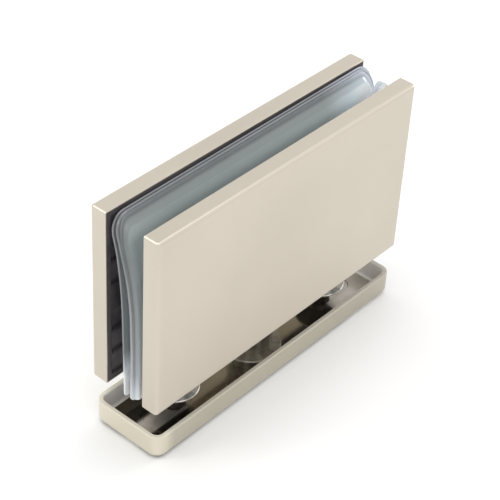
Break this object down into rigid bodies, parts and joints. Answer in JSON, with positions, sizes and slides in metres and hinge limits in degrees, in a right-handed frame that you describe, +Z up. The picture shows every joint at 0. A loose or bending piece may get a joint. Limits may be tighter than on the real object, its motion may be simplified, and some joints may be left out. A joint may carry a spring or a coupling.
{
  "type": "glass door hinge",
  "caption": "Floor pivot hinge for a frameless glass door: two satin nickel clamp plates with clear gaskets turn on a post in a shallow floor tray.",
  "frame": {"origin": "pivot axis at the underside of the floor tray, where it meets the floor", "axes": "+X along the clamp plates, +Y from the front plate to the rear plate, +Z up along the pivot axis"},
  "size_m": [0.0911, 0.0212, 0.065],
  "materials": {
    "satin_nickel": "satin nickel plate on brass",
    "polished_steel": "polished stainless steel",
    "black_rubber": "moulded, matt",
    "clear_vinyl": "clear, slightly milky",
    "brass": "machined",
    "acetal": "natural white"
  },
  "bodies": {
    "base": {"floor_tray": "satin_nickel", "pivot_post": "polished_steel", "left_floor_screw": "polished_steel", "right_floor_screw": "polished_steel"},
    "leaf": {"front_plate": "satin_nickel", "rear_plate": "satin_nickel", "front_pad": "black_rubber", "rear_pad": "black_rubber", "front_gasket": "clear_vinyl", "rear_gasket": "clear_vinyl", "spacer_gasket": "clear_vinyl", "pivot_block": "brass", "pivot_bushing": "acetal", "thrust_washer": "acetal", "left_clamp_screw": "polished_steel", "right_clamp_screw": "polished_steel", "left_block_screw": "polished_steel", "right_block_screw": "polished_steel"}
  },
  "joints": [
    {"name": "leaf_pivot", "type": "hinge", "parent": "base", "child": "leaf", "pos_m": [0, 0, 0.014], "axis": [0, 0, 1], "continuous": true}
  ]
}
